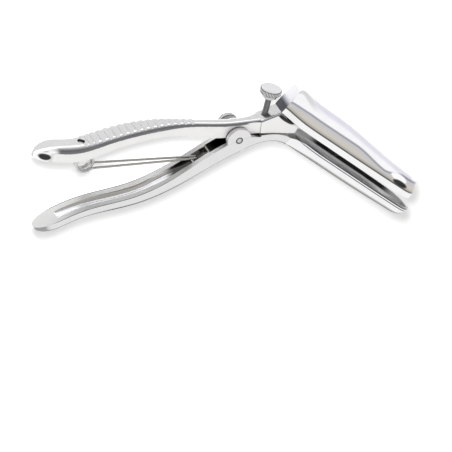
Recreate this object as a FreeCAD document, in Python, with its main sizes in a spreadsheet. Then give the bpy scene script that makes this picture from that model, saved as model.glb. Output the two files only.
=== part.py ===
# Bivalve speculum: two angled levers on one pivot, each a handle at one end and a blade at the other.
# It lies on its side. Z is the pivot's axis, +X runs towards the blades and +Y towards the set screw.
# The pieces are drawn about the pivot's centre, midway between the two ears, and are then lifted
# until the origin is the centre of the pivot head's flat face. Lengths in mm, angles in degrees.
import FreeCAD, Part

import math
import os

import Sketcher
from FreeCAD import Placement, Rotation, Vector

SIZES = {
    # Handles, seen along Z: each inner face follows runs and bends from the nose to its bar,
    # and the bar's start beside the pivot is the fixed point
    "upper_bar_x": 5.36, "upper_bar_y": 1.88, "upper_bar_heading": 14.0, "upper_nose_run": 16.6,
    "upper_heel_radius": 36.0, "upper_heel_turn": 28.0,
    "upper_palm_radius": 72.0, "upper_palm_turn": -36.0, "upper_neck_run": 4.0,
    "upper_throat_radius": 70.0, "upper_throat_turn": 22.0, "upper_bar_run": 8.0,
    "lower_bar_x": 13.49, "lower_bar_y": 3.03, "lower_bar_heading": 2.0, "lower_nose_run": 14.0,
    "lower_heel_radius": 70.0, "lower_heel_turn": -16.0, "lower_waist_run": 5.0,
    "lower_palm_radius": 84.0, "lower_palm_turn": 24.5, "lower_neck_run": 19.9,
    "lower_throat_radius": 40.0, "lower_throat_turn": -36.5, "lower_bar_run": 5.0,
    "lower_bend_radius": 14.0, "lower_bend_turn": -33.5,
    # Sections of the handles
    "handle_width": 12.3, "nose_length": 13.0,
    "upper_heel_height": 7.3, "upper_heel_edge": 3.2,
    "upper_palm_height": 5.5, "upper_palm_edge": 2.5,
    "neck_width": 5.6, "neck_height": 7.6, "neck_edge": 1.6,
    "bar_width": 8.2, "bar_height": 7.2, "bar_edge": 1.7,
    "lower_heel_height": 4.8, "lower_heel_edge": 2.6,
    "fork_width": 11.0, "fork_height": 7.2, "fork_edge": 1.8,
    "lower_bar_height": 4.6, "lower_bar_edge": 1.5,
    # Grip serrations on the upper handle's outer face
    "serration_count": 17, "serration_pitch": 3.25, "serration_radius": 1.4,
    "serration_depth": 0.5, "serration_start": 27.0,
    # Relief groove in each handle's inner face
    "groove_width": 5.4, "hook_pocket_depth": 3.7, "groove_start": 12.5, "groove_gap": 3.8,
    # Pivot
    "ear_radius": 5.9, "ear_inset": 0.05, "eye_radius": 4.6,
    "pivot_radius": 1.75, "pivot_play": 0.04, "pivot_seat_play": 0.01,
    "side_play": 0.3, "eye_play": 0.3, "fork_slot_left": 12.3, "fork_slot_right": 10.7,
    "cheek_top": 1.9,
    "collar_radius": 3.5, "collar_height": 1.4, "undercut_radius": 2.6, "undercut_height": 0.7,
    "head_radius": 5.25, "head_height": 2.6, "head_edge": 0.35, "pivot_collar_height": 2.7,
    "pivot_end_chamfer": 0.3,
    # Set screw through the upper bar, above the lower lever
    "screw_x": 12.4, "screw_radius": 1.5, "screw_play": 0.05, "screw_showing": 9.6,
    "screw_tip_y": 5.4, "screw_point": 0.5,
    # Blades: distances along a blade, and heights from its rim plane
    "blade_angle": -31.5, "blade_width": 20.0, "blade_wall": 1.2, "tip_wall": 1.6,
    "upper_rim": 22.1, "upper_blade_start": 8.5, "upper_blade_end": 101.0,
    "upper_face_width": 8.2, "upper_face_height": 13.6, "upper_blade_height": 15.8,
    "upper_tip_width": 17.0, "upper_tip_height": 11.2, "upper_tip_length": 13.0,
    "lower_rim": 17.7, "lower_blade_end": 105.0, "lower_root_width": 11.0,
    "lower_blade_height": 6.5, "lower_tip_width": 17.5, "lower_tip_height": 5.6,
    "lower_tip_length": 13.0,
    # Root of the upper lever: a tongue that the upper blade is brazed on
    "root_width": 9.4, "root_gap": 0.35, "root_left_x": 9.0, "root_toe_x": 28.0, "root_edge": 1.4,
    # Torsion spring, its anchor plug in the upper handle and its cross pin in the lower lever
    "wire_radius": 0.55, "coil_run": 26.6, "coil_gap": 0.3, "coil_radius": 4.2,
    "coil_inner_z": 0.65, "coil_outer_z": 2.3, "leg_angle": -40.0, "leg_end_z": 0.85,
    "hook_drop": 1.9, "hook_reach": 2.0, "hook_bow": 1.0, "hook_lift": 0.4,
    "plug_radius": 1.8, "plug_recess": 0.9, "plug_foot": 0.8, "plug_dome": 0.5, "tail_depth": 3.0, "tail_play": 0.06,
    "pin_back": 11.8, "pin_depth": 1.3, "pin_radius": 0.8, "pin_seat": 1.4,
    # Overshoot of every cutting shape past the face that it opens
    "over": 2.0,
}

document = FreeCAD.newDocument("speculum")
sheet = document.addObject("Spreadsheet::Sheet", "Dims")
for row, (alias, number) in enumerate(SIZES.items(), start=1):
    sheet.set("A%d" % row, alias)
    sheet.set("B%d" % row, str(number))
    sheet.setAlias("B%d" % row, alias)
document.recompute()


def size(alias):
    """Number in the sheet under this alias."""
    return float(sheet.get(alias))


def value(expression):
    """Number that an expression over the sheet's cells gives now."""
    return float(sheet.evalExpression(expression))


def origin_plane(body, role):
    """One of a body's own origin planes."""
    return next(item for item in body.Origin.OriginFeatures if item.Role == role)


def new_body(label):
    """Empty body for one sub-part."""
    body = document.addObject("PartDesign::Body", label)
    body.Label = label
    return body


def new_sketch(body, name, role):
    """Sketch on one of the body's origin planes."""
    sketch = body.newObject("Sketcher::SketchObject", name)
    sketch.AttachmentSupport = [(origin_plane(body, role), "")]
    sketch.MapMode = "FlatFace"
    return sketch


def bind(sketch, constraint, name, expression):
    """Add a dimension to a sketch and tie it to the sheet."""
    index = sketch.addConstraint(constraint)
    sketch.renameConstraint(index, name)
    sketch.setExpression("Constraints." + name, expression)


def walk(rail, distance):
    """Point and heading after a distance along a rail of straight runs and bends.

    A rail is its start (x, y, heading) and a list of runs (length,) and bends (radius, turn).
    """
    (x, y, heading), pieces = rail
    left = distance
    for piece in pieces:
        turn = math.radians(piece[1]) if len(piece) == 2 else 0.0
        length = abs(piece[0] * turn) if turn else piece[0]
        step = min(left, length)
        if turn:
            swept = math.copysign(step / piece[0], turn)
            radius = math.copysign(piece[0], turn)
            x += radius * (math.sin(heading + swept) - math.sin(heading))
            y -= radius * (math.cos(heading + swept) - math.cos(heading))
            heading += swept
        else:
            x += step * math.cos(heading)
            y += step * math.sin(heading)
        left -= step
        if left <= 0:
            break
    x += left * math.cos(heading)
    y += left * math.sin(heading)
    return x, y, math.degrees(heading)


def rail_length(rail):
    """Whole length of a rail."""
    return sum(abs(p[0] * math.radians(p[1])) if len(p) == 2 else p[0] for p in rail[1])


def bend(prefix):
    """Radius and turn of a named bend."""
    return size(prefix + "_radius"), size(prefix + "_turn")


def anchored(prefix, before, after):
    """Rail whose pieces before the bar end at the bar's named place and heading."""
    heading = math.radians(size(prefix + "_bar_heading"))
    first = heading - sum(math.radians(piece[1]) for piece in before if len(piece) == 2)
    reach_x, reach_y, _ = walk(((0.0, 0.0, first), before), rail_length((None, before)))
    begin = (size(prefix + "_bar_x") - reach_x, size(prefix + "_bar_y") - reach_y, first)
    return begin, before + after


UPPER = anchored("upper", [(size("upper_nose_run"),), bend("upper_heel"), bend("upper_palm"),
                           (size("upper_neck_run"),), bend("upper_throat")],
                 [(size("upper_bar_run"),)])
LOWER = anchored("lower", [(size("lower_nose_run"),), bend("lower_heel"),
                           (size("lower_waist_run"),), bend("lower_palm"),
                           (size("lower_neck_run"),), bend("lower_throat")],
                 [(size("lower_bar_run"),), bend("lower_bend")])


def coil_centre():
    """Centre of the spring's coils, a clearance below the upper handle's inner face."""
    x, y, heading = walk(UPPER, size("coil_run"))
    drop = size("coil_radius") + size("wire_radius") + size("coil_gap")
    slant = math.radians(heading)
    return x + drop * math.sin(slant), y - drop * math.cos(slant)


def bend_length(prefix):
    """Length of a named bend along its rail."""
    radius, turn = bend(prefix)
    return abs(math.radians(turn) * radius)


def blade_point(along, height):
    """Point of the XY plane from blade coordinates: distance along a blade and height across it."""
    angle = math.radians(size("blade_angle"))
    x = along * math.cos(angle) - height * math.sin(angle)
    y = along * math.sin(angle) + height * math.cos(angle)
    return x, y


def to_blade(x, y):
    """Blade coordinates of a point of the XY plane."""
    angle = math.radians(size("blade_angle"))
    return x * math.cos(angle) + y * math.sin(angle), -x * math.sin(angle) + y * math.cos(angle)


def section(body, name, place, side, width, height, radius, lift="0"):
    """Flat-backed section with two rounded outer corners, square to a rail.

    place is (x, y, heading in degrees). side is +1 for an outer face to the left of the heading and
    -1 for one to the right. width is along Z, height runs outwards, radius rounds the two outer
    corners and lift carries the flat back the other way.
    """
    x, y, heading = place
    sketch = new_sketch(body, name, "YZ_Plane")
    sketch.AttachmentOffset = Placement(Vector(y, 0, x), Rotation(Vector(0, 1, 0), heading))
    half, tall, corner, back = value(width) / 2, value(height), value(radius), value(lift)

    def at(along, across):
        return Vector(side * along, across, 0)

    def round_corner(across, start, end):
        circle = Part.Circle(at(tall - corner, across), Vector(0, 0, 1), corner)
        return Part.ArcOfCircle(circle, math.radians(start), math.radians(end))

    top_angles = (0, 90) if side > 0 else (90, 180)
    low_angles = (-90, 0) if side > 0 else (180, 270)
    sketch.addGeometry([
        Part.LineSegment(at(-back, -half), at(-back, half)),
        Part.LineSegment(at(-back, half), at(tall - corner, half)),
        round_corner(half - corner, *top_angles),
        Part.LineSegment(at(tall, half - corner), at(tall, corner - half)),
        round_corner(corner - half, *low_angles),
        Part.LineSegment(at(tall - corner, -half), at(-back, -half)),
    ], False)
    wall_end, crown_end = (2, 1) if side > 0 else (1, 2)
    sketch.addConstraint([
        Sketcher.Constraint("Coincident", 0, 2, 1, 1),
        Sketcher.Constraint("Coincident", 5, 2, 0, 1),
        Sketcher.Constraint("Tangent", 1, 2, 2, wall_end),
        Sketcher.Constraint("Tangent", 3, 1, 2, crown_end),
        Sketcher.Constraint("Tangent", 3, 2, 4, wall_end),
        Sketcher.Constraint("Tangent", 5, 1, 4, crown_end),
        Sketcher.Constraint("Vertical", 3),
        Sketcher.Constraint("Horizontal", 1),
        Sketcher.Constraint("Horizontal", 5),
        Sketcher.Constraint("Equal", 2, 4),
        Sketcher.Constraint("Symmetric", 0, 1, 0, 2, -1),
    ])
    outer, inner = ((3, 1), (0, 1)) if side > 0 else ((0, 1), (3, 1))
    bind(sketch, Sketcher.Constraint("DistanceY", 0, 1, 0, 2, 2 * half), "width", width)
    bind(sketch, Sketcher.Constraint("DistanceX", *inner, *outer, tall + back), "height",
         "(%s) + (%s)" % (height, lift))
    bind(sketch, Sketcher.Constraint("Radius", 2, corner), "corner", radius)
    if back:
        pair = (0, 1, -1, 1) if side > 0 else (-1, 1, 0, 1)
        bind(sketch, Sketcher.Constraint("DistanceX", *pair, back), "lift", lift)
    else:
        sketch.addConstraint(Sketcher.Constraint("PointOnObject", 0, 1, -2))
    return sketch


def loft(body, kind, name, sketches):
    """Smooth loft through section sketches."""
    feature = body.newObject("PartDesign::" + kind, name)
    feature.Profile = sketches[0]
    feature.Sections = sketches[1:]
    feature.Ruled = False
    return feature


def outline(body, name, points, role="XY_Plane"):
    """Closed outline of straight edges whose corners are tied to expressions for x and y."""
    sketch = new_sketch(body, name, role)
    corners = [Vector(value(x), value(y), 0) for x, y in points]
    count = len(corners)
    for index, corner in enumerate(corners):
        sketch.addGeometry(Part.LineSegment(corner, corners[(index + 1) % count]), False)
    for index in range(count):
        sketch.addConstraint(Sketcher.Constraint("Coincident", index, 2, (index + 1) % count, 1))
    for index, (x, y) in enumerate(points):
        for axis, kind, expression in (("x", "DistanceX", x), ("y", "DistanceY", y)):
            constraint = Sketcher.Constraint(kind, -1, 1, index, 1, value(expression))
            bind(sketch, constraint, "corner%d%s" % (index, axis), expression)
    return sketch


def circle_sketch(body, name, x, y, radius, role="XY_Plane"):
    """Circle tied to expressions for its centre and radius."""
    sketch = new_sketch(body, name, role)
    circle = Part.Circle(Vector(value(x), value(y), 0), Vector(0, 0, 1), value(radius))
    sketch.addGeometry(circle, False)
    bind(sketch, Sketcher.Constraint("Radius", 0, value(radius)), "radius", radius)
    for axis, kind, expression in (("x", "DistanceX", x), ("y", "DistanceY", y)):
        constraint = Sketcher.Constraint(kind, -1, 1, 0, 3, value(expression))
        bind(sketch, constraint, "centre" + axis, expression)
    return sketch


def even_pad(body, kind, name, sketch, length):
    """Pad or pocket of a sketch, half its length to each side."""
    feature = body.newObject("PartDesign::" + kind, name)
    feature.Profile = sketch
    feature.SideType = "Symmetric"
    feature.setExpression("Length", length)
    return feature


def nose_stations(rail, prefix, height, radius):
    """Sections of a handle's bull nose: (distance, width, height, corner radius)."""
    stations = []
    for share in (0.015, 0.1, 0.28, 0.6):
        swell = math.sqrt(1 - (1 - share) ** 2)
        flat = 0.22 + 0.78 * swell
        stations.append((share * size("nose_length"),
                         "Dims.handle_width * %.4f" % swell,
                         "%s * %.4f" % (height, flat),
                         "%s * %.4f" % (radius, 0.9 * swell)))
    return stations


def lay_sections(body, rail, side, stations, name, lift="0"):
    """Section sketches at stations (distance along the rail, width, height, corner radius)."""
    return [section(body, "%s_%d" % (name, index), walk(rail, distance), side, width, height,
                    radius, lift)
            for index, (distance, width, height, radius) in enumerate(stations)]


def groove(body, rail, side, start, end):
    """Round-bottomed groove in a handle's inner face, sinking in from a pointed start."""
    sketches = []
    deepest = "Dims.hook_pocket_depth"
    marks = ((0.0, 0.12), (0.08, 0.3), (0.2, 0.42), (0.4, 0.47), (0.6, 0.5), (0.78, 0.7),
             (0.9, 1.0), (0.97, 1.0), (1.0, 1.0))
    for index, (share, sunk) in enumerate(marks):
        x, y, heading = walk(rail, start + share * (end - start))
        slant = math.radians(heading)
        rise = (1.0 - sunk) * size("hook_pocket_depth")
        place = (x - rise * side * -math.sin(slant), y - rise * side * math.cos(slant), heading)
        width = "Dims.groove_width" if share < 1.0 else "Dims.groove_width * 0.7"
        sketches.append(section(body, "groove_%d" % index, place, side, width, deepest,
                                width + " * 0.38", "Dims.over"))
    return loft(body, "SubtractiveLoft", "ReliefGroove", sketches)


def make_upper_lever():
    """Upper lever: serrated handle, thin neck with the pivot eye, bar and blade root."""
    body = new_body("upper_lever")
    whole = rail_length(UPPER)
    throat = bend_length("upper_throat")
    neck_start = whole - size("upper_bar_run") - throat
    stations = nose_stations(UPPER, "upper", "Dims.upper_heel_height", "Dims.upper_heel_edge")
    stations += [
        (size("nose_length"), "Dims.handle_width * 0.99", "Dims.upper_heel_height * 0.98",
         "Dims.upper_heel_edge"),
        (0.27 * neck_start, "Dims.handle_width", "Dims.upper_heel_height", "Dims.upper_heel_edge"),
        (0.48 * neck_start, "Dims.handle_width * 0.98", "Dims.upper_palm_height * 1.1",
         "Dims.upper_palm_edge"),
        (0.68 * neck_start, "Dims.handle_width * 0.88", "Dims.upper_palm_height",
         "Dims.upper_palm_edge"),
        (0.84 * neck_start, "Dims.neck_width * 1.38", "Dims.upper_palm_height * 1.08",
         "Dims.upper_palm_edge * 0.85"),
        (neck_start, "Dims.neck_width", "Dims.neck_height * 0.94", "Dims.neck_edge"),
        (neck_start + 0.45 * throat, "Dims.neck_width", "Dims.neck_height", "Dims.neck_edge"),
        (neck_start + 0.87 * throat, "Dims.neck_width", "Dims.bar_height", "Dims.neck_edge"),
        (whole - 2.0, "Dims.bar_width", "Dims.bar_height", "Dims.bar_edge"),
    ]
    lever = loft(body, "AdditiveLoft", "Lever", lay_sections(body, UPPER, 1, stations, "section"))
    document.recompute()

    eye = circle_sketch(body, "eye_circle", "0", "0", "Dims.eye_radius")
    even_pad(body, "Pad", "PivotEye", eye, "Dims.neck_width")

    # Root: follows the bar, then rises to the blade's seat and runs along it to the toe
    seat_x, seat_y = blade_point(size("upper_blade_start"), size("upper_rim"))
    toe_along, _ = to_blade(size("root_toe_x"), LOWER_TOP)
    end_x, end_y = blade_point(toe_along - 1.2, size("upper_rim"))
    bar_x, bar_y, bar_heading = walk(UPPER, whole - 3.0)
    slant = math.radians(bar_heading)
    top_x = bar_x - size("bar_height") * math.sin(slant)
    top_y = bar_y + size("bar_height") * math.cos(slant)
    root_floor = LOWER_TOP + size("root_gap")
    root_points = [(bar_x, max(bar_y, root_floor)), (bar_x + 5.0, root_floor),
                   (size("root_toe_x"), root_floor), (end_x, end_y), (seat_x, seat_y),
                   (top_x + 1.0, top_y)]
    root = outline(body, "root_outline", [("%.4f" % x, "%.4f" % y) for x, y in root_points])
    pad = even_pad(body, "Pad", "BladeRoot", root, "Dims.root_width")
    document.recompute()
    round_edges(body, pad, "RootEdges", "Dims.root_edge",
                lambda edge: on_segment(edge, (top_x + 1.0, top_y), (seat_x, seat_y))
                or on_segment(edge, (seat_x, seat_y), (end_x, end_y)))

    # Serrations run across the grip, following its curve
    teeth = new_sketch(body, "serration_circles", "XY_Plane")
    for index in range(int(size("serration_count"))):
        distance = size("serration_start") + index * size("serration_pitch")
        x, y, heading = walk(UPPER, distance)
        slant = math.radians(heading)
        outward = Vector(-math.sin(slant), math.cos(slant), 0)
        probe = Part.makeLine(Vector(x, y, 0) + outward * 0.5, Vector(x, y, 0) + outward * 20)
        height = 0.5 + lever.Shape.common(probe).Length
        lift = height + size("serration_radius") - size("serration_depth")
        centre = Vector(x, y, 0) + outward * lift
        teeth.addGeometry(Part.Circle(centre, Vector(0, 0, 1), size("serration_radius")), False)
        bind(teeth, Sketcher.Constraint("Radius", index, size("serration_radius")),
             "tooth%d" % index, "Dims.serration_radius")
        teeth.addConstraint(Sketcher.Constraint("DistanceX", -1, 1, index, 3, centre.x))
        teeth.addConstraint(Sketcher.Constraint("DistanceY", -1, 1, index, 3, centre.y))
    even_pad(body, "Pocket", "Serrations", teeth, "Dims.handle_width + Dims.over")

    bore = circle_sketch(body, "pivot_circle", "0", "0", "Dims.pivot_radius + Dims.pivot_play")
    even_pad(body, "Pocket", "PivotBore", bore, "Dims.fork_width + Dims.over")

    # A sketch on the XZ plane has its own y along Z
    hole = circle_sketch(body, "screw_circle", "Dims.screw_x", "0",
                         "Dims.screw_radius + Dims.screw_play", "XZ_Plane")
    even_pad(body, "Pocket", "ScrewHole", hole, "40")

    plug_x = "%.4f - Dims.coil_radius" % coil_centre()[0]
    plug = circle_sketch(body, "plug_circle", plug_x, "0", "Dims.plug_radius", "XZ_Plane")
    even_pad(body, "Pocket", "PlugHole", plug, "40")
    return body


def on_segment(edge, first, last):
    """Whether an edge lies over the segment between two points of the XY plane, off its ends."""
    if edge.Length < 2.0:
        return False
    reach = math.dist(first, last)
    for vertex in edge.Vertexes:
        x, y = vertex.X - first[0], vertex.Y - first[1]
        across = abs(x * (last[1] - first[1]) - y * (last[0] - first[0])) / reach
        along = (x * (last[0] - first[0]) + y * (last[1] - first[1])) / reach
        if across > 0.05 or along < -0.05 or along > reach + 0.05:
            return False
    flat = abs(edge.Vertexes[0].Z - edge.Vertexes[-1].Z) < 0.01
    return flat


def round_edges(body, base, name, radius, wanted):
    """Fillet on those edges of a feature that a test picks out."""
    names = ["Edge%d" % (index + 1) for index, edge in enumerate(base.Shape.Edges) if wanted(edge)]
    if not names:
        raise RuntimeError(name + " finds no edge to round")
    fillet = body.newObject("PartDesign::Fillet", name)
    fillet.Base = (base, names)
    fillet.setExpression("Radius", radius)
    return fillet


def make_lower_lever():
    """Lower lever: grooved handle, fork with two ears and the bar that carries the lower blade."""
    body = new_body("lower_lever")
    whole = rail_length(LOWER)
    drop = bend_length("lower_bend")
    throat = bend_length("lower_throat")
    bar_start = whole - drop - size("lower_bar_run")
    neck_end = bar_start - throat
    stations = nose_stations(LOWER, "lower", "Dims.lower_heel_height", "Dims.lower_heel_edge")
    stations += [
        (size("nose_length"), "Dims.handle_width * 0.99", "Dims.lower_heel_height",
         "Dims.lower_heel_edge"),
        (0.25 * neck_end, "Dims.handle_width", "Dims.lower_heel_height", "Dims.lower_heel_edge"),
        (0.53 * neck_end, "Dims.handle_width", "Dims.lower_heel_height * 1.1",
         "Dims.lower_heel_edge"),
        (0.76 * neck_end, "Dims.handle_width * 0.95", "Dims.fork_height * 0.85",
         "Dims.fork_edge * 1.2"),
        (0.97 * neck_end, "Dims.fork_width", "Dims.fork_height", "Dims.fork_edge"),
        (bar_start - 0.55 * throat, "Dims.fork_width", "Dims.fork_height", "Dims.fork_edge"),
        (bar_start - 1.5, "Dims.fork_width", "Dims.lower_bar_height", "Dims.lower_bar_edge"),
        (whole - 0.6 * drop, "Dims.lower_root_width", "Dims.lower_bar_height * 0.97",
         "Dims.lower_bar_edge"),
        (whole, "Dims.lower_root_width", "Dims.lower_bar_height * 0.97", "Dims.lower_bar_edge"),
    ]
    loft(body, "AdditiveLoft", "Lever", lay_sections(body, LOWER, -1, stations, "section"))

    ears = circle_sketch(body, "ear_circle", "0", "0", "Dims.ear_radius")
    even_pad(body, "Pad", "Ears", ears, "Dims.fork_width - 2 * Dims.ear_inset")

    # The cheeks beside the ears sit lower than the bar's top, which the set screw bears on
    cheeks = outline(body, "cheek_outline", [
        ("Dims.ear_radius", "Dims.cheek_top"), ("Dims.fork_slot_right", "Dims.cheek_top"),
        ("Dims.fork_slot_right", "Dims.ear_radius"), ("Dims.ear_radius", "Dims.ear_radius")])
    even_pad(body, "Pocket", "Cheeks", cheeks, "Dims.fork_width + Dims.over")

    slot = outline(body, "fork_outline", [
        ("-Dims.fork_slot_left", "Dims.ear_radius + Dims.over"),
        ("-Dims.fork_slot_left", "-Dims.fork_slot_left * 0.9"),
        ("-Dims.eye_radius * 0.4", "-Dims.eye_radius"),
        ("Dims.fork_slot_right", "Dims.fork_slot_right * 0.14"),
        ("Dims.fork_slot_right", "Dims.ear_radius + Dims.over"),
    ])
    even_pad(body, "Pocket", "ForkSlot", slot, "Dims.neck_width + 2 * Dims.side_play")
    seat = circle_sketch(body, "eye_clearance", "0", "0", "Dims.eye_radius + Dims.eye_play")
    even_pad(body, "Pocket", "EyeSeat", seat, "Dims.neck_width + 2 * Dims.side_play")

    bore = circle_sketch(body, "pivot_circle", "0", "0",
                         "Dims.pivot_radius + Dims.pivot_seat_play")
    even_pad(body, "Pocket", "PivotBore", bore, "Dims.fork_width + Dims.over")

    groove(body, LOWER, -1, size("groove_start"), neck_end - size("groove_gap"))

    x, y = pin_centre()
    pin = circle_sketch(body, "pin_circle", "%.4f" % x, "%.4f" % y, "Dims.pin_radius")
    even_pad(body, "Pocket", "PinHole", pin, "Dims.groove_width + 2 * Dims.pin_seat")
    return body


def pin_centre():
    """Centre of the spring's cross pin, under the lower lever's inner face."""
    whole = rail_length(LOWER)
    neck_end = (whole - bend_length("lower_bend") - size("lower_bar_run")
                - bend_length("lower_throat"))
    x, y, heading = walk(LOWER, neck_end - size("pin_back"))
    slant = math.radians(heading)
    return x + size("pin_depth") * math.sin(slant), y - size("pin_depth") * math.cos(slant)


LOWER_TOP = walk(LOWER, rail_length(LOWER) - bend_length("lower_bend"))[1]


def blade_sections(body, name, side, rim, stations, lift="0"):
    """Section sketches of a blade at stations (distance along it, rim drop, width, height, radius)."""
    sketches = []
    for index, (along, drop, width, height, radius) in enumerate(stations):
        x, y = blade_point(along, size(rim) - drop)
        place = (x, y, size("blade_angle"))
        sketches.append(section(body, "%s_%d" % (name, index), place, side, width, height, radius,
                                lift))
    return sketches


def tip_stations(prefix, wall):
    """Rounded closed end of a blade, inside it by a wall thickness."""
    end = size(prefix + "_blade_end")
    length = size(prefix + "_tip_length")
    stations = []
    for turn in (22, 42, 60, 74, 84):
        share = math.sin(math.radians(turn))
        narrow = math.cos(math.radians(turn))
        flat = math.sqrt(1 - 0.85 * share ** 2)
        along = end - length + share * length
        width = "Dims.%s_tip_width * %.4f" % (prefix, narrow)
        height = "Dims.%s_tip_height * %.4f" % (prefix, flat)
        radius = "Dims.%s_tip_height * %.4f" % (prefix, 0.62 * narrow)
        stations.append((along, 0.0, width, height, radius))
    if not wall:
        return stations
    inner = []
    shrink = (length - size("tip_wall")) / length
    for along, drop, width, height, radius in stations[:-1]:
        back = end - length + (along - end + length) * shrink
        scale = (size(prefix + "_tip_width") - 2 * size("blade_wall")) / size(prefix + "_tip_width")
        low = (size(prefix + "_tip_height") - size("blade_wall")) / size(prefix + "_tip_height")
        inner.append((back, drop, "(%s) * %.4f" % (width, scale), "(%s) * %.4f" % (height, low),
                      "(%s) * %.4f" % (radius, 0.9 * low)))
    return inner


def hollowed(stations):
    """The same stations one blade wall further in."""
    return [(along, drop, "(%s) - 2 * Dims.blade_wall" % width, "(%s) - Dims.blade_wall" % height,
             "(%s) - Dims.blade_wall * 0.8" % radius) for along, drop, width, height, radius in stations]


def make_upper_blade():
    """Upper blade: a deep trough with a flat-faced root, domed back and rounded closed tip."""
    body = new_body("upper_blade")
    start = size("upper_blade_start")
    root = [
        (start, 0.0, "Dims.upper_face_width", "Dims.upper_face_height",
         "Dims.upper_face_width * 0.4"),
        (start + 2.0, 0.0, "Dims.upper_face_width * 1.12", "Dims.upper_blade_height * 0.96",
         "Dims.upper_face_width * 0.47"),
        (start + 5.0, 0.0, "Dims.blade_width * 0.66", "Dims.upper_blade_height * 0.99",
         "Dims.blade_width * 0.29"),
    ]
    trough = [
        (start + 9.0, 0.0, "Dims.blade_width * 0.88", "Dims.upper_blade_height",
         "Dims.blade_width * 0.4"),
        (start + 14.0, 0.0, "Dims.blade_width * 0.985", "Dims.upper_blade_height",
         "Dims.blade_width * 0.45"),
        (start + 26.0, 0.0, "Dims.blade_width", "Dims.upper_blade_height",
         "Dims.blade_width * 0.46"),
        (start + 44.0, 0.0, "Dims.blade_width * 0.985", "Dims.upper_blade_height * 0.93",
         "Dims.blade_width * 0.45"),
        (start + 62.0, 0.0, "Dims.blade_width * 0.94", "Dims.upper_blade_height * 0.81",
         "Dims.blade_width * 0.42"),
        (size("upper_blade_end") - size("upper_tip_length"), 0.0, "Dims.upper_tip_width",
         "Dims.upper_tip_height", "Dims.upper_tip_height * 0.66"),
    ]
    outer = root + trough + tip_stations("upper", False)
    loft(body, "AdditiveLoft", "Back", blade_sections(body, "outer", 1, "upper_rim", outer))
    hollow = hollowed(root[-1:] + trough) + tip_stations("upper", True)
    sketches = blade_sections(body, "inner", 1, "upper_rim", hollow, "Dims.over")
    loft(body, "SubtractiveLoft", "Trough", sketches)
    return body


def make_lower_blade():
    """Lower blade: a shallow trough that carries on the lower lever's end."""
    body = new_body("lower_blade")
    seat_x, seat_y, _ = walk(LOWER, rail_length(LOWER))
    start, level = to_blade(seat_x, seat_y)
    drop = size("lower_rim") - level
    root = [
        (start, drop, "Dims.lower_root_width", "Dims.lower_bar_height * 0.97",
         "Dims.lower_bar_edge"),
        (start + 5.0, 0.35 * drop, "Dims.blade_width * 0.76", "Dims.lower_blade_height * 0.87",
         "Dims.lower_blade_height * 0.4"),
    ]
    trough = [
        (start + 12.0, 0.05 * drop, "Dims.blade_width * 0.97", "Dims.lower_blade_height * 0.98",
         "Dims.lower_blade_height * 0.62"),
        (start + 26.0, 0.0, "Dims.blade_width", "Dims.lower_blade_height",
         "Dims.lower_blade_height * 0.7"),
        (start + 48.0, 0.0, "Dims.blade_width * 0.97", "Dims.lower_blade_height * 0.97",
         "Dims.lower_blade_height * 0.7"),
        (size("lower_blade_end") - size("lower_tip_length"), 0.0, "Dims.lower_tip_width",
         "Dims.lower_tip_height", "Dims.lower_tip_height * 0.66"),
    ]
    outer = root + trough + tip_stations("lower", False)
    loft(body, "AdditiveLoft", "Back", blade_sections(body, "outer", -1, "lower_rim", outer))
    hollow = hollowed(root[-1:] + trough) + tip_stations("lower", True)
    sketches = blade_sections(body, "inner", -1, "lower_rim", hollow, "Dims.over")
    loft(body, "SubtractiveLoft", "Trough", sketches)
    return body


def turned(label, points):
    """Body turned about Z from a half outline of (radius, height) expressions."""
    body = new_body(label)
    sketch = outline(body, "profile", points, "XZ_Plane")
    turn = body.newObject("PartDesign::Revolution", "Turning")
    turn.Profile = sketch
    turn.ReferenceAxis = (sketch, ["V_Axis"])
    turn.Angle = 360
    return body


def make_pivot_screw():
    """Pivot screw: knurled head and collar under the far ear, plain shank flush in the near one."""
    near = "Dims.fork_width / 2"
    far = "-Dims.fork_width / 2"
    collar = far + " - Dims.pivot_collar_height"
    under = collar + " - Dims.undercut_height"
    foot = under + " - Dims.head_height"
    return turned("pivot_screw", [
        ("0", near), ("Dims.pivot_radius - Dims.pivot_end_chamfer", near),
        ("Dims.pivot_radius", near + " - Dims.pivot_end_chamfer"), ("Dims.pivot_radius", far),
        ("Dims.collar_radius", far), ("Dims.collar_radius", collar),
        ("Dims.undercut_radius", collar), ("Dims.undercut_radius", under),
        ("Dims.head_radius - Dims.head_edge", under),
        ("Dims.head_radius", under + " - Dims.head_edge"),
        ("Dims.head_radius", foot + " + Dims.head_edge"),
        ("Dims.head_radius - Dims.head_edge", foot), ("0", foot),
    ])


def bar_top(x):
    """Height of the bar's outer face over the X axis at a given x."""
    whole = rail_length(UPPER)
    base_x, base_y, heading = walk(UPPER, whole)
    slope = math.tan(math.radians(heading))
    return base_y + (x - base_x) * slope + size("bar_height") / math.cos(math.radians(heading))


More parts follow.
